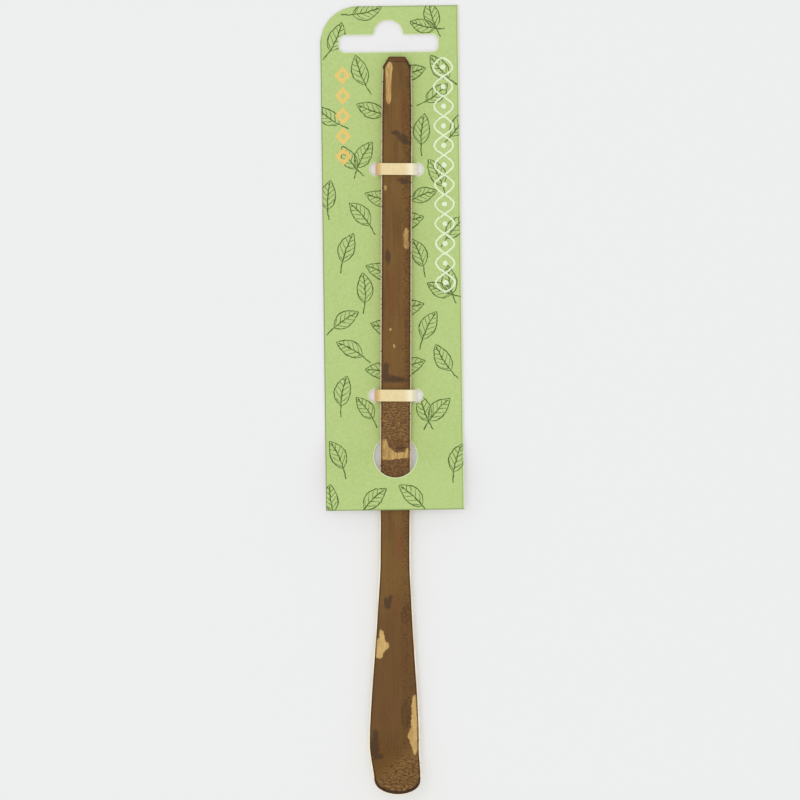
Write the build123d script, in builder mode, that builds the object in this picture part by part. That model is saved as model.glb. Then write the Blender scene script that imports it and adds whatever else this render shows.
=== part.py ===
from build123d import *
import os
from math import asin, cos, degrees, radians, sin

# A bamboo tea scoop on its hang card, lying on its back. Millimetres.
# +Z is the front of the card, +Y points to the hang slot, X = 0 is the scoop's centre line.
# Y = 0 is half way between the card's top edge and the scoop's tip, Z = 0 is under the bands.

# Scoop, with the taper's distance from the handle's end and the flare's from the tip
scoop_length = 179.9
handle_width = 7.6
handle_thick = 2.0
handle_narrowing = 0.8
handle_taper_length = 26.0
handle_end_width = 4.0
handle_corner_width = 1.45
handle_corner_length = 2.4
handle_cut_length = 1.2
handle_cut_drop = 0.45
flare_start = 58.0
bowl_width = 12.6
neck_thick = 1.5
blade_thick = 1.35
culm_radius = 60.0
edge_bevel = 0.3
back_bevel = 0.4

# Bend of the bowl, towards the skin side
bend_radius = 22.0
bend_angle = 42.0
blade_length = 5.0

# Joint of the culm across the handle, with its distance from the handle's end
node_distance = 79.9
node_length = 2.6
node_height = 0.18

# Hang card, with the handle's distance from its top edge and the round hole's from its bottom edge
card_width = 33.85
card_height = 123.4
card_thick = 0.5
card_corner = 9.2
card_lean = 0.95
card_offset = -0.2
handle_drop = 12.5
scoop_hole_rise = 13.2
scoop_hole_diameter = 10.5
step_length = 16.0

# Hang slot, with the distance from the card's top edge to the slot's upper edge
slot_drop = 7.1
slot_offset = -0.25
slot_width = 24.2
slot_height = 4.15
slot_corner = 1.4
peg_seat_radius = 3.57
peg_seat_fillet = 0.5

# Retaining bands, one below the card's top edge and one above the round hole's centre
upper_band_drop = 40.0
lower_band_rise = 14.8
band_width = 2.85
band_thick = 0.3
band_top_width = 7.8
band_shoulder = 0.8
band_turn = 0.45
band_knee_height = 0.3
band_hole_diameter = 3.2
band_hole_reach = 5.0

# Gaps between the pieces
under_gap = 0.5
over_gap = 0.5
band_gap = 0.3

# Extra length of the cutters past what they cut
overrun = 4.0

# Heights and places that follow
card_back = band_thick
card_face = card_back + card_thick
scoop_back = card_face + under_gap
skin_height = scoop_back + handle_thick
step_rise = skin_height + over_gap - card_back
card_top = (handle_drop + scoop_length) / 2
handle_end = card_top - handle_drop
tip_end = handle_end - scoop_length
hole_centre = card_top - card_height + scoop_hole_rise
band_places = {
    "upper_band": card_top - upper_band_drop,
    "lower_band": hole_centre + lower_band_rise,
}

os.makedirs("parts", exist_ok=True)

# Scoop: one strip of culm, its skin on top, shaved on the back and bent by heat
half_handle = handle_width / 2
half_bowl = bowl_width / 2
blade_run = blade_length * cos(radians(bend_angle))
bend_run = bend_radius * sin(radians(bend_angle))
bend_start = tip_end + blade_run + bend_run
node_place = handle_end - node_distance
ridge_angle = asin((half_handle - edge_bevel) / culm_radius)
# Flare: its end's distance from the tip as a share of the bowl's width, then on each side the
# share of its length and of its widening
flare_foot_share = 1.2
flare_shares = ((0.22, 0.18), (0.45, 0.44), (0.66, 0.72), (0.86, 0.94))
# Tip's corners: place across as a share of half the bowl, distance back as a share of its width
tip_shares = ((-1, 1.05), (-0.74, 0.2), (0.05, -0.05), (1.04, 0.165), (1.06, 0.6), (1, 1))
tip_corner_shares = (1.2, 0.4, 0.5, 0.4, 2, 1)


def rim_edges(faces):
    """Edges round a run of faces, without the seams between them."""
    edges = ShapeList(faces).edges()
    return [edge for edge in edges if edges.count(edge) == 1]


with BuildPart() as scoop:
    # Skin, as round as the culm, along the straight shaft, the bend and the blade
    with BuildLine(Plane.YZ) as skin_line:
        shaft = Line((handle_end, skin_height), (bend_start, skin_height))
        bend = JernArc(shaft @ 1, shaft % 1, bend_radius, -bend_angle)
        blade = Line(bend @ 1, bend @ 1 + (bend % 1) * blade_length)
    with BuildSketch(Plane(origin=shaft @ 0, x_dir=(1, 0, 0), z_dir=shaft % 0)):
        with Locations((0, -culm_radius)):
            Circle(culm_radius)
        Rectangle(2 * bowl_width, 4 * handle_thick, mode=Mode.INTERSECT)
    sweep(path=skin_line.wire())

    # Back, shaved thinner all the way from the handle's end to the tip
    tip_normal = (blade % 1).cross(Vector(1, 0, 0))
    heel = bend @ 1 - tip_normal * blade_thick
    with BuildSketch(Plane.YZ):
        with BuildLine():
            taper = Line((handle_end, scoop_back), (bend_start, skin_height - neck_thick))
            under_bend = TangentArc(taper @ 1, (heel.Y, heel.Z), tangent=taper % 1)
            under_blade = Line(
                under_bend @ 1,
                under_bend @ 1 + (under_bend % 1) * (blade_length + overrun),
            )
            Polyline(
                under_blade @ 1,
                under_blade @ 1 + (0, scoop_length),
                taper @ 0 + (0, scoop_length),
                taper @ 0,
            )
        make_face()
    extrude(amount=bowl_width, both=True, mode=Mode.INTERSECT)

    # Outline of the handle, the flare and the tip, cut square to the blade
    tip_plane = Plane(origin=blade @ 1, x_dir=(1, 0, 0), z_dir=tip_normal)
    flare_top, taper_foot, outline_top = (
        tip_plane.to_local_coords(Vector(0, place, skin_height)).Y
        for place in (tip_end + flare_start, handle_end - handle_taper_length, handle_end + overrun)
    )
    flare_foot = bowl_width * flare_foot_share
    with BuildSketch(tip_plane):
        with BuildLine():
            narrow = TangentArc(
                (half_handle, taper_foot),
                (half_handle - handle_narrowing / 2, outline_top),
                tangent=(0, 1),
            )
            Line(narrow @ 1, (0, outline_top))
            Line(narrow @ 0, (half_handle, flare_top))
            Spline(
                (half_handle, flare_top),
                *[
                    (
                        half_handle + (half_bowl - half_handle) * widening_share,
                        flare_top - (flare_top - flare_foot) * length_share,
                    )
                    for length_share, widening_share in flare_shares
                ],
                (half_bowl, flare_foot),
                tangents=[(0, -1), (0, -1)],
            )
            mirror(about=Plane.YZ)
            FilletPolyline(
                (-half_bowl, flare_foot),
                *[
                    (half_bowl * across_share, bowl_width * back_share)
                    for across_share, back_share in tip_shares
                ],
                (half_bowl, flare_foot),
                radius=[bowl_width * corner_share for corner_share in tip_corner_shares],
            )
        make_face()
    extrude(amount=scoop_length, both=True, mode=Mode.INTERSECT)

    # Handle's cut corners
    with BuildSketch(Plane.XY):
        with BuildLine():
            Polyline(
                (0, handle_end),
                (handle_end_width / 2, handle_end),
                (
                    handle_end_width / 2 + 3 * handle_corner_width,
                    handle_end - 3 * handle_corner_length,
                ),
                (bowl_width, handle_end - 3 * handle_corner_length),
                (bowl_width, tip_end - overrun),
                (0, tip_end - overrun),
            )
            mirror(about=Plane.YZ)
        make_face()
    extrude(amount=scoop_length, both=True, mode=Mode.INTERSECT)

    # Bevels, which bare the flesh round the skin and ease the back
    skin = [scoop.faces().sort_by_distance(run @ 0.5)[0] for run in (shaft, bend, blade)]
    chamfer(rim_edges(skin), edge_bevel)
    under_points = [Plane.YZ.from_local_coords(run @ 0.5) for run in (taper, under_bend)]
    under_points.append(blade @ 0.5 - tip_normal * blade_thick)
    back = [scoop.faces().sort_by_distance(point)[0] for point in under_points]
    chamfer(rim_edges(back), back_bevel)

    # Handle's end, cut down in one slope
    end_cut = Plane(
        origin=(0, handle_end - handle_cut_length, skin_height),
        x_dir=(1, 0, 0),
        z_dir=(0, handle_cut_drop, handle_cut_length),
    )
    split(bisect_by=end_cut, keep=Keep.BOTTOM)

    # Joint of the culm, a low ridge that follows the skin's round
    ridge_plane = Plane(
        origin=(0, node_place, skin_height - culm_radius),
        x_dir=(0, 1, 0),
        z_dir=(cos(ridge_angle), 0, sin(ridge_angle)),
    )
    with BuildSketch(ridge_plane):
        with BuildLine():
            ridge = ThreePointArc(
                (-node_length / 2, culm_radius),
                (0, culm_radius + node_height),
                (node_length / 2, culm_radius),
            )
            Polyline(
                ridge @ 1,
                (node_length / 2, culm_radius - neck_thick / 2),
                (-node_length / 2, culm_radius - neck_thick / 2),
                ridge @ 0,
            )
        make_face()
    revolve(axis=Axis(ridge_plane.origin, (0, 1, 0)), revolution_arc=2 * degrees(ridge_angle))

scoop.part.label = "scoop"
export_step(scoop.part, "parts/scoop.step")

# Hang card: one board, die cut, that steps up at its round hole from under the scoop to over it
half_step = step_length / 2
card_middle = card_back + card_thick / 2
card_rise = card_height - scoop_hole_rise
slot_edge = card_rise - slot_drop
card_plane = Plane(
    origin=(card_offset, hole_centre, 0),
    x_dir=(cos(radians(card_lean)), sin(radians(card_lean)), 0),
    z_dir=(0, 0, 1),
)

with BuildPart() as hang_card:
    with BuildSketch(Plane.YZ):
        with BuildLine():
            low_run = Line(
                (card_top + overrun, card_middle),
                (hole_centre + half_step, card_middle),
            )
            rise = TangentArc(
                low_run @ 1,
                (hole_centre, card_middle + step_rise / 2),
                tangent=low_run % 1,
            )
            settle = TangentArc(
                rise @ 1,
                (hole_centre - half_step, card_middle + step_rise),
                tangent=rise % 1,
            )
            Line(settle @ 1, settle @ 1 - (card_height, 0))
        trace(line_width=card_thick)
    extrude(amount=card_width, both=True)

    # Outline, square at three corners and round at the fourth
    with BuildSketch(card_plane):
        with Locations((0, card_rise - card_height / 2)):
            Rectangle(card_width, card_height)
        fillet(vertices().group_by(Axis.Y)[-1].sort_by(Axis.X)[0], card_corner)
    extrude(amount=card_width, both=True, mode=Mode.INTERSECT)

    # Hang slot with a half-round seat for a display peg
    with BuildSketch(card_plane):
        with Locations((slot_offset, slot_edge - slot_height / 2)):
            RectangleRounded(slot_width, slot_height, slot_corner)
        with Locations((slot_offset, slot_edge)):
            Circle(peg_seat_radius)
        seat_ends = vertices().filter_by_position(
            Axis.X, slot_offset - slot_height, slot_offset + slot_height
        )
        fillet(seat_ends.group_by(Axis.Y)[-1], peg_seat_fillet)
    extrude(amount=card_width, both=True, mode=Mode.SUBTRACT)

    # Round hole for the scoop and a pair of holes for each band, on the scoop's centre line
    with BuildSketch(Plane.XY):
        with Locations((0, hole_centre)):
            Circle(scoop_hole_diameter / 2)
        for place in band_places.values():
            with Locations((-band_hole_reach, place), (band_hole_reach, place)):
                Circle(band_hole_diameter / 2)
    extrude(amount=card_width, both=True, mode=Mode.SUBTRACT)

hang_card.part.label = "hang_card"
export_step(hang_card.part, "parts/hang_card.step")

# Bands: flat strips closed in a ring, over the scoop, down two holes and along the card's back
band_top = skin_height + band_gap + band_thick / 2
band_knee = card_face + band_knee_height
ring_corners = (
    (-band_hole_reach, band_thick / 2),
    (-band_hole_reach, band_knee),
    (-band_top_width / 2, band_top),
    (band_top_width / 2, band_top),
    (band_hole_reach, band_knee),
    (band_hole_reach, band_thick / 2),
)
ring_radii = (band_turn, band_shoulder, band_shoulder, band_shoulder, band_shoulder, band_turn)

for band_name, place in band_places.items():
    with BuildPart() as band:
        with BuildSketch(Plane.XZ.offset(-place)) as ring:
            with BuildLine():
                FilletPolyline(*ring_corners, radius=ring_radii, close=True)
            make_face()
            middle = ring.sketch_local.face()
            offset(middle, amount=band_thick / 2)
            offset(middle, amount=-band_thick / 2, mode=Mode.SUBTRACT)
        extrude(amount=band_width / 2, both=True)
    band.part.label = band_name
    export_step(band.part, f"parts/{band_name}.step")
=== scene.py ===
import math

import bmesh
import bpy
from mathutils import Matrix, Vector, kdtree


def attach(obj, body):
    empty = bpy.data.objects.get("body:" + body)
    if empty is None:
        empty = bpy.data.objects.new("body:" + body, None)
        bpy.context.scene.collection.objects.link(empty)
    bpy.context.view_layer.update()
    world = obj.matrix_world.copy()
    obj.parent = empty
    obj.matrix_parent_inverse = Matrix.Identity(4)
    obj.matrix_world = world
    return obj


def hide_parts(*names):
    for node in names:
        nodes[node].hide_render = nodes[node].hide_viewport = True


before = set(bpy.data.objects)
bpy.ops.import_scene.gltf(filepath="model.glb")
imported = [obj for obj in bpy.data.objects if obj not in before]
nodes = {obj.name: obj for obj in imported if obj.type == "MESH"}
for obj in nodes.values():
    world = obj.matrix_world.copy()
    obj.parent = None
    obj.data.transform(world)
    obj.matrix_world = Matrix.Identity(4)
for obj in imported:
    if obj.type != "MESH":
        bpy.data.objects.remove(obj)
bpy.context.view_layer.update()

# The view: straight down on the object as it lies, from far off, with the
# handle's end at the top of the picture and the tip at the bottom.
camera_data = bpy.data.cameras.new("camera")
camera_data.type = "PERSP"
camera_data.lens = 441.0
camera_data.sensor_width = 36.0
camera_data.clip_end = 10.0
camera = bpy.data.objects.new("camera", camera_data)
camera.location = (0.00106, -0.00028, 2.4)
camera.rotation_euler = (0.0, 0.0, math.radians(0.23))
bpy.context.scene.collection.objects.link(camera)
bpy.context.scene.camera = camera

# The light: a pale room all round and one broad soft lamp above, a little to
# the left, so that shadows are faint on both sides and a bit longer to the right.
world = bpy.data.worlds.new("room")
world.use_nodes = True
world.node_tree.nodes["Background"].inputs["Color"].default_value = (1.0, 1.0, 1.0, 1.0)
world.node_tree.nodes["Background"].inputs["Strength"].default_value = 0.775
bpy.context.scene.world = world
lamp_data = bpy.data.lights.new("soft_lamp", "AREA")
lamp_data.shape = "DISK"
lamp_data.size = 2.2
lamp_data.energy = 22.6
lamp = bpy.data.objects.new("soft_lamp", lamp_data)
lamp.location = (-0.3, 0.0, 3.0)
lamp.rotation_euler = (-lamp.location).to_track_quat("-Z", "Y").to_euler()
bpy.context.scene.collection.objects.link(lamp)
bpy.context.scene.view_settings.view_transform = "Standard"


# The table: a plain pale sheet, far wider than the picture, that the object lies
# on. A little light comes up through it, so that no shadow on it is deep.
table_half_width = 3.0
table_drop = 0.00005
lit_from_below = 0.12


def dye(red, green, blue):
    """A colour given in the 0 to 255 steps of a screen, as a shader takes it."""
    steps = [value / 255 for value in (red, green, blue)]
    light = [((s + 0.055) / 1.055) ** 2.4 if s > 0.04045 else s / 12.92 for s in steps]
    return (*light, 1.0)


def finish_of(name):
    """A new material, with its tree and its shader."""
    material = bpy.data.materials.new(name)
    material.use_nodes = True
    return material, material.node_tree, material.node_tree.nodes["Principled BSDF"]


def make_object(name, bm, material):
    """Turns a bmesh into an object of one material that lies at the origin."""
    mesh = bpy.data.meshes.new(name)
    bm.to_mesh(mesh)
    bm.free()
    mesh.materials.append(material)
    piece = bpy.data.objects.new(name, mesh)
    bpy.context.scene.collection.objects.link(piece)
    return piece


table_finish, tree, shader = finish_of("pale_sheet")
table_white = dye(238, 239, 239)
thrown_back = [(1 - lit_from_below) * light for light in table_white[:3]]
shader.inputs["Base Color"].default_value = (*thrown_back, 1.0)
shader.inputs["Emission Color"].default_value = table_white
shader.inputs["Emission Strength"].default_value = lit_from_below
shader.inputs["Roughness"].default_value = 0.9
shader.inputs["Specular IOR Level"].default_value = 0.1
bm = bmesh.new()
lowered = Matrix.Translation((0.0, 0.0, -table_drop))
bmesh.ops.create_grid(bm, x_segments=1, y_segments=1, size=table_half_width, matrix=lowered)
make_object("table", bm, table_finish)

# Hang card: one piece of board, die cut in one stroke and bent up at its round
# hole. Green ink with a scatter of drawn leaves covers its front, the cut edges
# and the back are bare white fibre.
card_lean = math.radians(0.95)
# In mm: the outline, the slot and the print from the round hole, along the leaning
# card, and the band holes from the object's middle
card_half_width = 16.925
card_upper = 110.2
card_lower = -13.2
card_shift = 0.2
hole_centre = -14.0
hole_radius = 5.25
slot_middle = (-0.25, 101.03)
slot_half = (12.1, 2.075)
slot_corner = 1.4
seat_middle = (-0.25, 103.1)
seat_radius = 3.57
band_holes = ((-5.0, 56.2), (5.0, 56.2), (-5.0, 0.8), (5.0, 0.8))
band_hole_radius = 1.6
twist_middle, twist_reach, twist_pitch = 13.0, 2.3, 9.6
twist_low, twist_high = 39.9, 97.5
strand_half_width = 0.2
bead_radius = 0.62
row_middle, row_low, row_high, row_pitch = -11.6, 71.0, 95.8, 4.96
diamond_half_width, diamond_half_height, diamond_hollow = 2.0, 2.2, 0.42
leaf_stroke = 0.135
leaf_width = 0.92
vein_step = 0.19
# In metres and degrees
board_roughness_depth = 0.00001
card_corner = 30
front_from = 0.6
ground_greens = dye(174, 196, 118), dye(184, 206, 131)
speckle_green = dye(187, 208, 134)
leaf_ink = dye(68, 98, 28)
white_ink = dye(233, 243, 213)
yellow_ink = dye(240, 199, 112)
# A pale rim of painted highlight along the card's right edge and openings
rim_highlight_green = dye(230, 238, 202)
# A dark line of painted shade along the card's edges
shade_line_green = dye(112, 134, 74)
fibre_whites = dye(234, 231, 220), dye(248, 246, 240)
# Each leaf: its stalk's place from the round hole, its direction and its length, in mm
leaves = [
    (-9.0, 108.2, 14, 7.4),
    (11.4, 104.8, 104, 7.0),
    (11.2, 104.6, 164, 6.4),
    (-14.6, 99.4, 66, 7.6),
    (14.4, 92.4, 128, 7.2),
    (-6.0, 91.0, 108, 7.6),
    (8.8, 86.8, 38, 6.8),
    (-12.6, 81.4, 142, 7.0),
    (7.4, 76.2, 82, 7.6),
    (14.8, 78.2, 58, 7.2),
    (-8.2, 70.6, 60, 7.4),
    (-8.4, 70.4, 122, 6.6),
    (12.6, 66.0, 118, 7.4),
    (5.0, 62.6, 20, 6.6),
    (-15.6, 60.6, 84, 7.2),
    (-5.4, 56.6, 132, 7.4),
    (13.4, 53.2, 46, 7.4),
    (-12.2, 47.6, 68, 7.6),
    (7.6, 46.4, 112, 7.2),
    (14.6, 39.6, 98, 7.0),
    (14.4, 39.4, 154, 6.6),
    (-6.8, 37.6, 94, 7.4),
    (-14.4, 31.6, 32, 7.2),
    (7.2, 28.6, 62, 7.6),
    (-7.6, 24.6, 152, 7.2),
    (14.0, 20.8, 120, 7.4),
    (-13.0, 12.4, 78, 7.6),
    (-5.2, 9.2, 128, 6.6),
    (8.6, 8.6, 46, 7.4),
    (8.4, 8.4, 106, 6.8),
    (-12.6, -2.8, 116, 7.4),
    (14.4, -4.0, 72, 7.2),
    (-7.6, -12.8, 42, 7.4),
    (6.6, -12.2, 138, 7.6),
    (-15.2, -13.4, 96, 6.8),
    (-1.5, 83.8, 160, 7.2),
    (2.0, 93.5, 12, 7.0),
    (0.5, 62.5, 165, 7.2),
    (1.0, 56.0, 20, 7.4),
    (0.0, 43.6, 155, 7.2),
    (1.0, 35.0, 18, 7.0),
    (1.5, 31.0, 168, 7.2),
    (0.0, 20.0, 170, 7.2),
    (1.0, 20.5, 22, 7.4),
]


def calc(tree, operation, *terms):
    """One step of arithmetic on numbers and sockets, as a Math node's result."""
    node = tree.nodes.new("ShaderNodeMath")
    node.operation = operation
    for socket, term in zip(node.inputs, terms):
        if isinstance(term, (int, float)):
            socket.default_value = term
        else:
            tree.links.new(term, socket)
    return node.outputs[0]


def ramp(tree, value, low, high, at_low=0.0, at_high=1.0):
    """A number that goes smoothly from one value to another between two limits."""
    node = tree.nodes.new("ShaderNodeMapRange")
    node.interpolation_type = "SMOOTHSTEP"
    tree.links.new(value, node.inputs["Value"])
    numbers = {"From Min": low, "From Max": high, "To Min": at_low, "To Max": at_high}
    for name, number in numbers.items():
        node.inputs[name].default_value = number
    return node.outputs["Result"]


def between(tree, value, low, high, soft, height=1.0):
    """A mask of that height between two limits, which fades just outside them."""
    return calc(
        tree,
        "MULTIPLY",
        ramp(tree, value, low - soft, low, 0.0, height),
        ramp(tree, value, high, high + soft, 1.0, 0.0),
    )


def blend(tree, share, first, second):
    """The mix of two colours, each one a colour or a socket."""
    node = tree.nodes.new("ShaderNodeMix")
    node.data_type = "RGBA"
    sockets = node.inputs["Factor"], node.inputs[6], node.inputs[7]
    for socket, term in zip(sockets, (share, first, second)):
        if isinstance(term, (float, tuple)):
            socket.default_value = term
        else:
            tree.links.new(term, socket)
    return node.outputs[2]


def grain(tree, place, scale, detail=2.0, roughness=0.5, colour=False):
    """A noise from 0 to 1 over a place given in millimetres."""
    node = tree.nodes.new("ShaderNodeTexNoise")
    tree.links.new(place, node.inputs["Vector"])
    node.inputs["Scale"].default_value = scale
    node.inputs["Detail"].default_value = detail
    node.inputs["Roughness"].default_value = roughness
    return node.outputs["Color" if colour else "Fac"]


def stretched(tree, place, factors, shift=(0.0, 0.0, 0.0), turn=0.0):
    """A place scaled, turned and moved."""
    node = tree.nodes.new("ShaderNodeMapping")
    tree.links.new(place, node.inputs["Vector"])
    node.inputs["Scale"].default_value = factors
    node.inputs["Location"].default_value = shift
    node.inputs["Rotation"].default_value = (0.0, 0.0, turn)
    return node.outputs["Vector"]


def shaken(tree, place, scale, reach, detail=2.0):
    """A place moved a little to and fro by a noise, to make drawn borders uneven."""
    node = tree.nodes.new("ShaderNodeVectorMath")
    node.operation = "MULTIPLY_ADD"
    node.inputs[1].default_value = (reach, reach, 0.0)
    tree.links.new(grain(tree, place, scale, detail, colour=True), node.inputs[0])
    middle = stretched(tree, place, (1.0, 1.0, 1.0), (-reach / 2, -reach / 2, 0.0))
    tree.links.new(middle, node.inputs[2])
    return node.outputs[0]


per_metre = 1000.0


def millimetres(tree):
    """The place on the piece, in millimetres, and the way its surface faces."""
    source = tree.nodes.new("ShaderNodeTexCoord")
    place = stretched(tree, source.outputs["Object"], (per_metre, per_metre, per_metre))
    return place, source.outputs["Normal"]


def parts_of(tree, vector):
    """A vector's three parts."""
    node = tree.nodes.new("ShaderNodeSeparateXYZ")
    tree.links.new(vector, node.inputs[0])
    return node.outputs[0], node.outputs[1], node.outputs[2]


def relief(tree, shader, height, depth):
    """Roughens a surface with bumps of that depth in metres."""
    node = tree.nodes.new("ShaderNodeBump")
    node.inputs["Distance"].default_value = depth
    tree.links.new(height, node.inputs["Height"])
    tree.links.new(node.outputs["Normal"], shader.inputs["Normal"])


def new_group(name, entries, result):
    """An empty node group of numbers, with its inputs' sockets."""
    group = bpy.data.node_groups.new(name, "ShaderNodeTree")
    for entry in entries:
        group.interface.new_socket(entry, in_out="INPUT", socket_type="NodeSocketFloat")
    group.interface.new_socket(result, in_out="OUTPUT", socket_type="NodeSocketFloat")
    return group, group.nodes.new("NodeGroupInput").outputs


def use_group(tree, group, sockets, numbers):
    """A group's result for some sockets and some plain numbers."""
    node = tree.nodes.new("ShaderNodeGroup")
    node.node_tree = group
    for name, socket in sockets.items():
        tree.links.new(socket, node.inputs[name])
    for name, number in numbers.items():
        node.inputs[name].default_value = number
    return node.outputs[0]


def turned(group, given, middle_x, middle_y):
    """A place seen from a middle, along and aside of a direction."""
    across = calc(group, "SUBTRACT", given["X"], middle_x)
    up = calc(group, "SUBTRACT", given["Y"], middle_y)
    along = calc(
        group,
        "ADD",
        calc(group, "MULTIPLY", across, given["Cosine"]),
        calc(group, "MULTIPLY", up, given["Sine"]),
    )
    aside = calc(
        group,
        "SUBTRACT",
        calc(group, "MULTIPLY", up, given["Cosine"]),
        calc(group, "MULTIPLY", across, given["Sine"]),
    )
    return along, aside


def leaf_drawing():
    """A drawn leaf: outline, midrib, side veins and stalk, as a mask of ink."""
    entries = ("X", "Y", "Stalk X", "Stalk Y", "Cosine", "Sine", "Length", "Curl")
    group, given = new_group("leaf_drawing", entries, "Ink")
    along, aside = turned(group, given, given["Stalk X"], given["Stalk Y"])
    along = calc(group, "DIVIDE", along, given["Length"])
    aside = calc(group, "DIVIDE", aside, given["Length"])
    bow = calc(group, "MULTIPLY", along, calc(group, "SUBTRACT", 1.0, along))
    aside = calc(group, "SUBTRACT", aside, calc(group, "MULTIPLY", bow, given["Curl"]))
    reach = calc(group, "ABSOLUTE", aside)
    held = calc(group, "MINIMUM", calc(group, "MAXIMUM", along, 0.0), 1.0)
    to_tip = calc(group, "SUBTRACT", 1.0, held)
    width = calc(group, "POWER", held, 0.8)
    width = calc(group, "MULTIPLY", width, calc(group, "POWER", to_tip, 1.05))
    width = calc(group, "MULTIPLY", width, leaf_width)
    stroke = calc(group, "DIVIDE", leaf_stroke, given["Length"])

    def line(distance, low, high, share):
        inked = calc(group, "LESS_THAN", distance, calc(group, "MULTIPLY", stroke, share))
        after = calc(group, "GREATER_THAN", along, low)
        before = calc(group, "LESS_THAN", along, high)
        return calc(group, "MULTIPLY", inked, calc(group, "MULTIPLY", after, before))

    outline = line(calc(group, "ABSOLUTE", calc(group, "SUBTRACT", reach, width)), 0.0, 1.0, 1.1)
    midrib = line(reach, -0.36, 0.92, 1.15)
    curve = calc(group, "MULTIPLY", calc(group, "MULTIPLY", reach, reach), 1.6)
    rise = calc(group, "ADD", calc(group, "MULTIPLY", reach, 0.7), curve)
    slant = calc(group, "SUBTRACT", along, rise)
    slant = calc(group, "ADD", slant, calc(group, "MULTIPLY", calc(group, "SIGN", aside), 0.04))
    step = calc(group, "FRACT", calc(group, "DIVIDE", slant, vein_step))
    step = calc(group, "ABSOLUTE", calc(group, "SUBTRACT", step, 0.5))
    vein = line(calc(group, "MULTIPLY", step, vein_step), 0.08, 0.88, 0.85)
    inner = calc(group, "LESS_THAN", reach, calc(group, "MULTIPLY", width, 0.84))
    vein = calc(group, "MULTIPLY", vein, inner)
    ink = calc(group, "MAXIMUM", outline, calc(group, "MAXIMUM", midrib, vein))
    group.links.new(ink, group.nodes.new("NodeGroupOutput").inputs["Ink"])
    return group


def length_of(tree, side, rise):
    """The length of a slanting line from its two sides."""
    squares = calc(tree, "ADD", calc(tree, "POWER", side, 2.0), calc(tree, "POWER", rise, 2.0))
    return calc(tree, "SQRT", squares)


def ring_gap(tree, across, along, middle, radius):
    """How far a place lies outside a circle."""
    side = calc(tree, "SUBTRACT", across, middle[0])
    rise = calc(tree, "SUBTRACT", along, middle[1])
    return calc(tree, "SUBTRACT", length_of(tree, side, rise), radius)


def slab_gap(tree, across, along, middle, half, corner):
    """How far a place lies outside a rectangle with round corners."""
    side = calc(tree, "ABSOLUTE", calc(tree, "SUBTRACT", across, middle[0]))
    rise = calc(tree, "ABSOLUTE", calc(tree, "SUBTRACT", along, middle[1]))
    side = calc(tree, "MAXIMUM", calc(tree, "SUBTRACT", side, half[0] - corner), 0.0)
    rise = calc(tree, "MAXIMUM", calc(tree, "SUBTRACT", rise, half[1] - corner), 0.0)
    return calc(tree, "SUBTRACT", length_of(tree, side, rise), corner)


def merged_copy(node, sharp_from):
    """A bmesh of a node's mesh with its loose triangles joined, smooth but for its corners."""
    bm = bmesh.new()
    bm.from_mesh(node.data)
    bmesh.ops.remove_doubles(bm, verts=bm.verts, dist=1e-6)
    bm.normal_update()
    for face in bm.faces:
        face.smooth = True
    sharp_angle = math.radians(sharp_from)
    for edge in bm.edges:
        edge.smooth = len(edge.link_faces) == 2 and edge.calc_face_angle(0.0) < sharp_angle
    return bm


card_finish, tree, shader = finish_of("printed_board")
place, facing = millimetres(tree)
place_x, place_y, _ = parts_of(tree, place)
centred = stretched(tree, place, (1.0, 1.0, 1.0), (card_shift, -hole_centre, 0.0))
upright = stretched(tree, centred, (1.0, 1.0, 1.0), turn=-card_lean)
card_x, card_y, _ = parts_of(tree, upright)
drawn_x, drawn_y, _ = parts_of(tree, shaken(tree, upright, 0.9, 0.5))
drawing = leaf_drawing()
ink = None
for index, (stalk_x, stalk_y, turn, length) in enumerate(leaves):
    numbers = {
        "Stalk X": stalk_x,
        "Stalk Y": stalk_y,
        "Cosine": math.cos(math.radians(turn)),
        "Sine": math.sin(math.radians(turn)),
        "Length": length,
        "Curl": 0.16 if index % 3 else -0.18,
    }
    leaf = use_group(tree, drawing, {"X": drawn_x, "Y": drawn_y}, numbers)
    ink = leaf if ink is None else calc(tree, "MAXIMUM", ink, leaf)
cloud = grain(tree, upright, 0.12, 3.0)
green = blend(tree, cloud, *ground_greens)
mottle = grain(tree, upright, 1.6, 3.0, 0.7)
green = blend(tree, ramp(tree, mottle, 0.35, 0.68), green, speckle_green)
patchy = ramp(tree, grain(tree, upright, 1.4, 2.0), 0.3, 0.6, 0.7, 1.0)
printed = blend(tree, calc(tree, "MULTIPLY", ink, patchy), green, leaf_ink)
# A plain twist of two white lines down the right side, with a bead in each of its loops
turns = 2 * math.pi / twist_pitch
climbed = calc(tree, "SUBTRACT", drawn_y, twist_low)
phase = calc(tree, "MULTIPLY", climbed, turns)
swing = calc(tree, "MULTIPLY", calc(tree, "SINE", phase), twist_reach)
slope = calc(tree, "MULTIPLY", calc(tree, "COSINE", phase), twist_reach * turns)
offset = calc(tree, "ABSOLUTE", calc(tree, "SUBTRACT", drawn_x, twist_middle))
strand = calc(tree, "SUBTRACT", offset, calc(tree, "ABSOLUTE", swing))
strand = calc(tree, "DIVIDE", calc(tree, "ABSOLUTE", strand), length_of(tree, slope, 1.0))
strand = calc(tree, "LESS_THAN", strand, strand_half_width)
beat = calc(tree, "FRACT", calc(tree, "DIVIDE", climbed, twist_pitch / 2))
beat = calc(tree, "MULTIPLY", calc(tree, "SUBTRACT", beat, 0.5), twist_pitch / 2)
bead = calc(tree, "LESS_THAN", length_of(tree, beat, offset), bead_radius)
twist = calc(tree, "MAXIMUM", strand, bead)
twist = calc(tree, "MULTIPLY", twist, between(tree, drawn_y, twist_low, twist_high, 0.05))
printed = blend(tree, calc(tree, "MULTIPLY", twist, 0.9), printed, white_ink)
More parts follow.
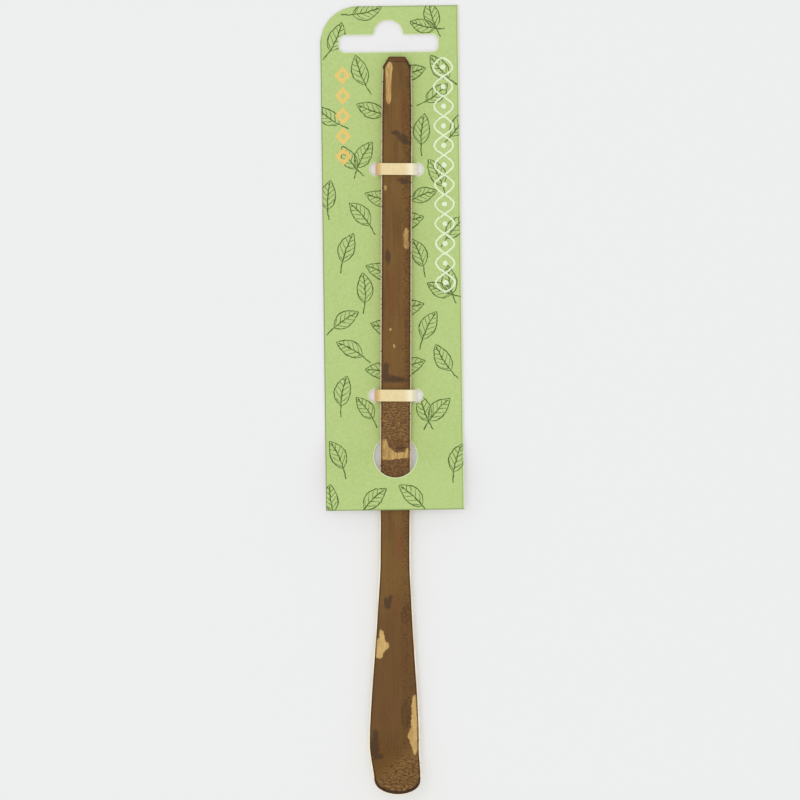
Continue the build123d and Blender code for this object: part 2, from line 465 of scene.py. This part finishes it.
# A row of yellow diamonds with open middles at the left
tick = calc(tree, "DIVIDE", calc(tree, "SUBTRACT", drawn_y, row_low), row_pitch)
tick = calc(tree, "SUBTRACT", calc(tree, "FRACT", tick), 0.5)
tick = calc(tree, "MULTIPLY", calc(tree, "ABSOLUTE", tick), row_pitch)
aside = calc(tree, "ABSOLUTE", calc(tree, "SUBTRACT", drawn_x, row_middle))
diamond = calc(
    tree,
    "ADD",
    calc(tree, "DIVIDE", tick, diamond_half_height),
    calc(tree, "DIVIDE", aside, diamond_half_width),
)
hollow = calc(tree, "GREATER_THAN", diamond, diamond_hollow)
diamond = calc(tree, "MULTIPLY", calc(tree, "LESS_THAN", diamond, 1.0), hollow)
diamond = calc(tree, "MULTIPLY", diamond, between(tree, drawn_y, row_low, row_high, 0.05))
printed = blend(tree, calc(tree, "MULTIPLY", diamond, 0.85), printed, yellow_ink)
# Along the right edge and round the openings a pale rim is painted, a painted highlight
edge_right = calc(tree, "SUBTRACT", card_half_width, card_x)
gaps = [
    edge_right,
    slab_gap(tree, card_x, card_y, slot_middle, slot_half, slot_corner),
    ring_gap(tree, card_x, card_y, seat_middle, seat_radius),
    ring_gap(tree, place_x, place_y, (0.0, hole_centre), hole_radius),
]
gaps += [ring_gap(tree, place_x, place_y, middle, band_hole_radius) for middle in band_holes]
nearest = gaps[0]
for gap in gaps[1:]:
    nearest = calc(tree, "MINIMUM", nearest, gap)
fibre = grain(tree, place, 6.0, 4.0, 0.6)
uneven_rim = calc(tree, "MULTIPLY", calc(tree, "SUBTRACT", fibre, 0.5), 0.2)
highlight_rim = calc(tree, "ADD", nearest, uneven_rim)
printed = blend(tree, ramp(tree, highlight_rim, 0.06, 0.3, 0.7, 0.0), printed, rim_highlight_green)
# Along the left, top and bottom edges, and a little inside the right one, a dark line of painted
# shade
edge_left = calc(tree, "ADD", card_x, card_half_width)
edge_below = calc(tree, "SUBTRACT", card_y, card_lower)
edge_shade = ramp(tree, calc(tree, "MINIMUM", edge_left, edge_below), 0.14, 0.34, 0.7, 0.0)
edge_above = calc(tree, "SUBTRACT", card_upper, card_y)
edge_shade = calc(tree, "MAXIMUM", edge_shade, ramp(tree, edge_above, 0.16, 0.4, 0.45, 0.0))
edge_shade = calc(tree, "MAXIMUM", edge_shade, between(tree, edge_right, 0.38, 0.48, 0.12, 0.4))
printed = blend(tree, edge_shade, printed, shade_line_green)
_, _, up_facing = parts_of(tree, facing)
front = calc(tree, "GREATER_THAN", up_facing, front_from)
core = blend(tree, fibre, *fibre_whites)
tree.links.new(blend(tree, front, core, printed), shader.inputs["Base Color"])
shader.inputs["Roughness"].default_value = 0.62
shader.inputs["Specular IOR Level"].default_value = 0.25
relief(tree, shader, fibre, board_roughness_depth)
card = make_object("printed_hang_card", merged_copy(nodes["hang_card"], card_corner), card_finish)
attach(card, "carrier")
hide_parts("hang_card")

# Scoop: one strip split from a smoked culm, carved and bent by heat. Its brown
# skin is left on the front, the pale flesh is bared on the bevels, the sides and
# the shaved back, and the skin has bare spots and dark stains.
blade_angle = math.radians(42.0)
scoop_corner = 24
skin_from = 0.85
end_from = 0.6
# In metres
skin_height = 0.0033
bend_start = -0.07776
bend_radius = 0.022
handle_end = 0.0837
row_step, row_count = 0.001, 180
column_step, column_reach = 0.0005, 13
outline_step = 0.0002
bamboo_roughness_depth = 0.00007
# In mm along the strip: the tip, the culm's joint and the slope at the handle's end
tip_at = -95.4
joint_at = 3.7
slope_at = 82.4
browns = dye(98, 66, 18), dye(118, 84, 31)
streak_brown = dye(118, 83, 30)
red_brown = dye(116, 66, 27)
bowl_brown = dye(95, 61, 14)
pale_brown = dye(156, 117, 62)
hole_brown = dye(112, 66, 30)
pore_brown = dye(72, 42, 8)
stain_brown = dye(62, 41, 16)
# A painted shade for the skin just above the culm's joint
joint_shade_brown = dye(72, 46, 22)
tans = dye(168, 132, 70), dye(206, 172, 108)
bowl_tan = dye(212, 178, 112)
deep_tan = dye(170, 122, 66)
rim_browns = dye(58, 36, 0), dye(46, 19, 0)
cut_brown = dye(96, 56, 28)
cut_line_brown = dye(54, 32, 14)
creams = dye(248, 228, 196), dye(255, 248, 232)
bundle_tan = dye(196, 158, 104)
# A painted shade for the flesh above the neck
painted_shade_cream = dye(190, 156, 100)
dot_brown = dye(150, 108, 60)
# Bare spots, dark stains, red shades and rough patches of the skin: middle, half
# width and half height in mm, and the turn in degrees
bare_spots = [
    (-2.0, 80.9, 1.15, 2.2, 0),
    (-2.05, 78.6, 0.95, 2.6, 0),
    (-2.05, 76.0, 0.9, 2.6, 0),
    (-2.05, 73.8, 0.85, 2.2, 0),
    (-2.75, 51.6, 0.5, 0.8, 0),
    (2.35, 40.2, 0.85, 1.9, -6),
    (2.45, 38.0, 0.85, 1.9, 6),
    (-1.3, 17.0, 0.45, 0.5, 0),
    (-0.42, 12.9, 0.28, 0.6, 12),
    (-2.8, -11.5, 1.25, 2.2, 0),
    (-1.9, -12.8, 2.4, 1.2, -26),
    (-1.8, -13.9, 2.4, 1.4, 4),
    (1.2, -13.9, 2.6, 1.0, 8),
    (3.0, -13.4, 0.9, 1.7, 0),
    (-3.1, -58.0, 0.8, 2.2, 12),
    (-2.7, -60.4, 1.6, 1.7, 0),
    (-3.9, -60.4, 1.3, 2.4, 0),
    (-3.9, -62.2, 1.5, 1.7, 24),
    (5.0, -74.9, 1.0, 3.2, 0),
    (5.0, -78.6, 1.25, 3.2, 0),
    (4.7, -82.0, 1.6, 1.9, 0),
    (4.1, -82.6, 1.1, 0.9, -30),
    (5.1, -84.9, 0.95, 2.4, 0),
    (4.5, -84.0, 0.8, 1.9, 23),
]
dark_stains = [
    (-0.3, 65.1, 1.3, 0.9, -14),
    (1.5, 63.8, 1.8, 1.4, -34),
    (2.3, 62.8, 1.2, 0.8, -10),
    (1.7, 53.3, 2.2, 1.1, -8),
    (-2.1, 34.8, 1.0, 2.2, 4),
    (-2.4, 6.9, 1.0, 2.6, 0),
    (-1.2, 4.9, 2.4, 1.2, -4),
    (1.1, 4.7, 1.6, 0.8, 0),
    (1.3, -12.0, 1.4, 0.6, 5),
    (-1.2, -49.2, 0.8, 1.9, -14),
    (-1.8, -50.5, 1.0, 1.3, 14),
    (-2.3, -49.4, 0.6, 1.3, 0),
    (-4.5, -82.2, 0.9, 1.8, 0),
    (-4.8, -85.4, 1.5, 3.2, 0),
    (-3.6, -87.4, 1.5, 0.8, 0),
]
red_shades = [
    (-2.9, -85.6, 0.8, 2.2, 4),
    (0.6, -51.0, 1.6, 4.0, 0),
    (-1.8, -76.0, 1.8, 7.0, 0),
    (1.6, 70.0, 1.4, 6.0, 0),
    (-0.8, 26.0, 1.6, 8.0, 0),
    (1.2, -36.0, 1.4, 7.0, 0),
    (-3.6, -69.0, 1.2, 4.0, 0),
    (2.0, -66.0, 1.2, 5.0, 0),
]
rough_patches = [
    (2.7, -52.6, 1.5, 3.4, 0),
    (2.9, -77.2, 1.7, 4.6, 0),
]


def spot_drawing():
    """One spot's share in a field: 1 at its middle and 0 from its border on."""
    entries = ("X", "Y", "Middle X", "Middle Y", "Half Width", "Half Height", "Cosine", "Sine")
    group, given = new_group("spot_drawing", entries, "Field")
    side, rise = turned(group, given, given["Middle X"], given["Middle Y"])
    side = calc(group, "POWER", calc(group, "DIVIDE", side, given["Half Width"]), 2.0)
    rise = calc(group, "POWER", calc(group, "DIVIDE", rise, given["Half Height"]), 2.0)
    field = calc(group, "SUBTRACT", 1.0, calc(group, "ADD", side, rise))
    field = calc(group, "MAXIMUM", field, 0.0)
    group.links.new(field, group.nodes.new("NodeGroupOutput").inputs["Field"])
    return group


def spots(tree, across, along, table):
    """The field of all the spots of one table, which run together where they meet."""
    field = None
    for middle_x, middle_y, half_width, half_height, turn in table:
        numbers = {
            "Middle X": middle_x,
            "Middle Y": middle_y,
            "Half Width": half_width,
            "Half Height": half_height,
            "Cosine": math.cos(math.radians(turn)),
            "Sine": math.sin(math.radians(turn)),
        }
        spot = use_group(tree, spot_shape, {"X": across, "Y": along}, numbers)
        field = spot if field is None else calc(tree, "ADD", field, spot)
    return field


spot_shape = spot_drawing()
scoop_finish, tree, shader = finish_of("smoked_bamboo")
place, facing = millimetres(tree)
across, along, _ = parts_of(tree, place)
rim = tree.nodes.new("ShaderNodeAttribute")
rim.attribute_name = "rim"
rim = rim.outputs["Fac"]
# The spots have uneven borders, all but the straight strip at the handle's end, and
# those half way up the handle are fainter
worn_x, worn_y, _ = parts_of(tree, shaken(tree, place, 1.3, 0.55, 4.0))
straight = ramp(tree, along, 67.0, 72.0, 0.0, 0.85)
put_back = calc(tree, "MULTIPLY", calc(tree, "SUBTRACT", across, worn_x), straight)
worn_x = calc(tree, "ADD", worn_x, put_back)
uneven = calc(tree, "SUBTRACT", grain(tree, place, 0.9, 3.0, 0.6), 0.5)
uneven = calc(tree, "MULTIPLY", uneven, 0.9)
uneven = calc(tree, "MULTIPLY", uneven, calc(tree, "SUBTRACT", 1.0, straight))
bare = calc(tree, "ADD", spots(tree, worn_x, worn_y, bare_spots), uneven)
bare = ramp(tree, bare, 0.2, 0.62)
fainter = between(tree, along, 8.0, 54.0, 2.0, 0.2)
bare = calc(tree, "MULTIPLY", bare, calc(tree, "SUBTRACT", 1.0, fainter))
uneven_stain = calc(tree, "MULTIPLY", uneven, 1.6)
stained = calc(tree, "ADD", spots(tree, worn_x, worn_y, dark_stains), uneven_stain)
stained = ramp(tree, stained, 0.08, 0.85)
reddened = ramp(tree, spots(tree, worn_x, worn_y, red_shades), 0.0, 1.0)
# Fine grain along the strip, and broad shades of brown
streak = grain(tree, stretched(tree, place, (2.2, 0.045, 1.0)), 1.0, 4.0, 0.65)
shade = grain(tree, stretched(tree, place, (0.5, 0.09, 1.0)), 1.0, 3.0, 0.55)
brown = blend(tree, ramp(tree, shade, 0.3, 0.72), *browns)
brown = blend(tree, ramp(tree, streak, 0.34, 0.7), brown, streak_brown)
brown = blend(tree, calc(tree, "MULTIPLY", reddened, 0.5), brown, red_brown)
lower_part = ramp(tree, along, -58.0, -44.0, 1.0, 0.0)
brown = blend(tree, calc(tree, "MULTIPLY", lower_part, 0.55), brown, bowl_brown)
# Short dark pores lie across the strip, dense at the right, under the lower band,
# in and just above the card's hole, where the skin is redder, and in bows where the
# bowl turns up
bow = calc(tree, "MULTIPLY", calc(tree, "MULTIPLY", across, across), 0.05)
bowed = calc(tree, "ADD", along, bow)
bow_place = tree.nodes.new("ShaderNodeCombineXYZ")
tree.links.new(across, bow_place.inputs[0])
tree.links.new(bowed, bow_place.inputs[1])
bow_place = bow_place.outputs[0]
pores = grain(tree, stretched(tree, bow_place, (1.0, 3.5, 1.0)), 1.0, 2.0, 0.5)
grit = grain(tree, stretched(tree, bow_place, (1.8, 4.4, 1.0)), 1.0, 2.0, 0.6)
under_band = between(tree, along, -19.0, -1.5, 2.5)
slanting = calc(tree, "SUBTRACT", along, calc(tree, "MULTIPLY", across, 0.8))
turned_up = ramp(tree, slanting, -93.0, -84.5, 1.0, 0.0)
dense = calc(tree, "MAXIMUM", under_band, turned_up)
paler = calc(tree, "MULTIPLY", calc(tree, "POWER", dense, 2.0), 0.85)
brown = blend(tree, paler, brown, pale_brown)
in_hole = between(tree, along, -19.0, -10.8, 1.6, 0.4)
brown = blend(tree, in_hole, brown, hole_brown)
right_side = calc(
    tree,
    "MULTIPLY",
    ramp(tree, across, 0.6, 2.8),
    ramp(tree, along, -50.0, -30.0, 0.5, 0.75),
)
rough = ramp(tree, spots(tree, worn_x, worn_y, rough_patches), 0.0, 0.6, 0.0, 0.9)
crowd = calc(tree, "MAXIMUM", rough, calc(tree, "MAXIMUM", right_side, dense))
limit = calc(tree, "ADD", calc(tree, "MULTIPLY", crowd, 0.16), 0.33)
pore = ramp(tree, calc(tree, "SUBTRACT", pores, limit), -0.06, 0.02, 1.0, 0.0)
pit = ramp(tree, calc(tree, "SUBTRACT", grit, limit), -0.05, 0.03, 1.0, 0.0)
pore = calc(tree, "MAXIMUM", pore, calc(tree, "MULTIPLY", pit, crowd))
brown = blend(tree, calc(tree, "MULTIPLY", pore, 0.82), brown, pore_brown)
# Stains, and a band of painted shade on the skin just above the joint of the culm
brown = blend(tree, calc(tree, "MULTIPLY", stained, 0.75), brown, stain_brown)
joint_shade = calc(
    tree,
    "MULTIPLY",
    ramp(tree, along, joint_at, joint_at + 0.2, 0.0, 0.4),
    ramp(tree, along, joint_at + 0.9, joint_at + 2.5, 1.0, 0.0),
)
brown = blend(tree, joint_shade, brown, joint_shade_brown)
# Where the skin has come off, the wood is tan
tan_grain = grain(tree, stretched(tree, place, (2.6, 0.4, 1.0)), 1.0, 3.0, 0.6)
tan = blend(tree, ramp(tree, tan_grain, 0.34, 0.64), *tans)
tan = blend(tree, calc(tree, "MULTIPLY", lower_part, 0.5), tan, bowl_tan)
tan = blend(tree, ramp(tree, shade, 0.3, 0.55, 0.4, 0.0), tan, deep_tan)
skin = blend(tree, bare, brown, tan)
# The skin darkens where the bevel cuts it, and the cut end of the handle is stained
# a red brown, with a dark line where its slope begins
ragged = calc(tree, "MULTIPLY", calc(tree, "SUBTRACT", grit, 0.5), 0.7)
skin_line = ramp(tree, calc(tree, "ADD", rim, ragged), 0.16, 0.5, 0.88, 0.0)
tip_end = ramp(tree, along, tip_at, tip_at + 5.4, 1.0, 0.0)
skin = blend(tree, skin_line, skin, blend(tree, tip_end, *rim_browns))
cut_slope = ramp(tree, along, slope_at, slope_at + 0.15, 0.0, 0.6)
skin = blend(tree, cut_slope, skin, cut_brown)
cut_line = between(tree, along, slope_at + 0.02, slope_at + 0.1, 0.14, 0.6)
skin = blend(tree, cut_line, skin, cut_line_brown)
# Flesh: cream, with long fibres, darker bundles and, on the ends, their dots. Above
# the neck a duller, yellower tone is painted on it, a painted shade
fibre = grain(tree, stretched(tree, place, (4.0, 0.12, 4.0)), 1.0, 4.0, 0.65)
bundle = grain(tree, stretched(tree, place, (2.6, 0.05, 2.6)), 1.0, 2.0, 0.5)
cream = blend(tree, ramp(tree, fibre, 0.3, 0.68), *creams)
cream = blend(tree, ramp(tree, bundle, 0.34, 0.44, 0.4, 0.0), cream, bundle_tan)
cream = blend(tree, ramp(tree, along, -31.0, -26.0, 0.0, 0.6), cream, painted_shade_cream)
_, end_facing, _ = parts_of(tree, facing)
end_grain = calc(tree, "GREATER_THAN", calc(tree, "ABSOLUTE", end_facing), end_from)
dots = ramp(tree, grain(tree, place, 3.4, 1.0), 0.36, 0.44, 0.7, 0.0)
dots = calc(tree, "MULTIPLY", dots, ramp(tree, along, -20.0, 20.0, 0.3, 1.0))
cream = blend(tree, calc(tree, "MULTIPLY", end_grain, dots), cream, dot_brown)
# The brown creeps over the bevel at the tip, along the upper handle, most at its end,
# and in small ticks
tick = grain(tree, stretched(tree, place, (0.3, 1.5, 0.3)), 1.0, 3.0, 0.6)
tick = ramp(tree, tick, 0.56, 0.66, 0.0, 0.3)
creep = calc(tree, "MULTIPLY", tick, ramp(tree, along, -30.0, -20.0))
for low, high, at_low, at_high in (
    (tip_at, tip_at + 4.4, 0.5, 0.0),
    (50.0, 66.0, 0.0, 0.14),
    (slope_at - 2.0, slope_at - 0.8, 0.0, 0.3),
):
    creep = calc(tree, "ADD", creep, ramp(tree, along, low, high, at_low, at_high))
covered = calc(tree, "ADD", calc(tree, "ADD", rim, creep), calc(tree, "MULTIPLY", ragged, 0.2))
covered = ramp(tree, covered, -0.04, 0.02)
tree.links.new(blend(tree, covered, cream, skin), shader.inputs["Base Color"])
gloss = calc(tree, "ADD", 0.46, calc(tree, "MULTIPLY", pores, 0.2))
gloss = calc(tree, "ADD", gloss, calc(tree, "MULTIPLY", bare, 0.12))
tree.links.new(gloss, shader.inputs["Roughness"])
shader.inputs["Specular IOR Level"].default_value = 0.28
height = calc(tree, "MULTIPLY", streak, 0.5)
height = calc(tree, "SUBTRACT", height, calc(tree, "MULTIPLY", pore, 0.4))
height = calc(tree, "SUBTRACT", height, calc(tree, "MULTIPLY", bare, 0.5))
height = calc(tree, "MULTIPLY", height, covered)
height = calc(tree, "ADD", height, calc(tree, "MULTIPLY", fibre, 0.6))
relief(tree, shader, height, bamboo_roughness_depth)

# The border between skin and flesh is where the front's faces meet the bevel's. The
# mesh is cut finer, so that each corner can carry its distance from that border
bm = merged_copy(nodes["scoop"], scoop_corner)
bend_centre = Vector((0.0, bend_start, skin_height + bend_radius))
blade_up = Vector((0.0, math.sin(blade_angle), math.cos(blade_angle)))
for face in bm.faces:
    middle = face.calc_center_median()
    to_centre = (bend_centre - Vector((0.0, middle.y, middle.z))).normalized()
    if middle.y > bend_start:
        up = Vector((0.0, 0.0, 1.0))
    elif to_centre.z < blade_up.z:
        up = blade_up
    else:
        up = to_centre
    face.material_index = 0 if face.normal.dot(up) > skin_from else 1
skin_outline = []
for edge in bm.edges:
    if len({face.material_index for face in edge.link_faces}) == 2:
        start, finish = edge.verts[0].co.copy(), edge.verts[1].co.copy()
        steps = max(1, int((finish - start).length / outline_step))
        skin_outline += [start.lerp(finish, step / steps) for step in range(steps + 1)]
cuts = [
    ((0.0, handle_end - step * row_step, 0.0), (0.0, 1.0, 0.0)) for step in range(1, row_count)
]
cuts += [
    ((step * column_step, 0.0, 0.0), (1.0, 0.0, 0.0))
    for step in range(-column_reach, column_reach + 1)
]
for point, direction in cuts:
    whole = bm.verts[:] + bm.edges[:] + bm.faces[:]
    bmesh.ops.bisect_plane(bm, geom=whole, dist=1e-7, plane_co=point, plane_no=direction)
outline = kdtree.KDTree(len(skin_outline))
for index, point in enumerate(skin_outline):
    outline.insert(point, index)
outline.balance()
rim_layer = bm.verts.layers.float.new("rim")
for vert in bm.verts:
    kinds = {face.material_index for face in vert.link_faces}
    side = 0.0 if len(kinds) == 2 else 1.0 if kinds == {0} else -1.0
    vert[rim_layer] = side * outline.find(vert.co)[2] * per_metre
for face in bm.faces:
    face.material_index = 0
scoop = make_object("bamboo_scoop", bm, scoop_finish)
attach(scoop, "scoop")
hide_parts("scoop")

# Bands: narrow flat strips of cream rubber over the scoop, down through a pair
# of the card's holes each and joined behind it. They are redder towards the left
# end, and paler towards the right, a painted highlight on the right slopes.
rubber_creams = dye(226, 206, 152), dye(235, 216, 164)
redder_left_cream = dye(232, 172, 116)
painted_highlight_cream = dye(255, 246, 222)
rubber_roughness_depth = 0.00003
band_corner = 40
band_finish, tree, shader = finish_of("cream_rubber")
place, _ = millimetres(tree)
band_x, _, _ = parts_of(tree, place)
dust = grain(tree, place, 1.6, 3.0, 0.6)
cream = blend(tree, ramp(tree, dust, 0.3, 0.7), *rubber_creams)
# Redder towards the left end; paler towards the right end, a painted highlight where the right
# slopes face away from the lamp
cream = blend(tree, ramp(tree, band_x, -5.2, -3.0, 0.75, 0.0), cream, redder_left_cream)
cream = blend(tree, ramp(tree, band_x, 1.5, 4.6, 0.0, 0.9), cream, painted_highlight_cream)
tree.links.new(cream, shader.inputs["Base Color"])
shader.inputs["Roughness"].default_value = 0.46
shader.inputs["Specular IOR Level"].default_value = 0.35
relief(tree, shader, dust, rubber_roughness_depth)
for name in ("upper_band", "lower_band"):
    band = make_object(f"rubber_{name}", merged_copy(nodes[name], band_corner), band_finish)
    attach(band, "carrier")
    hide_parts(name)
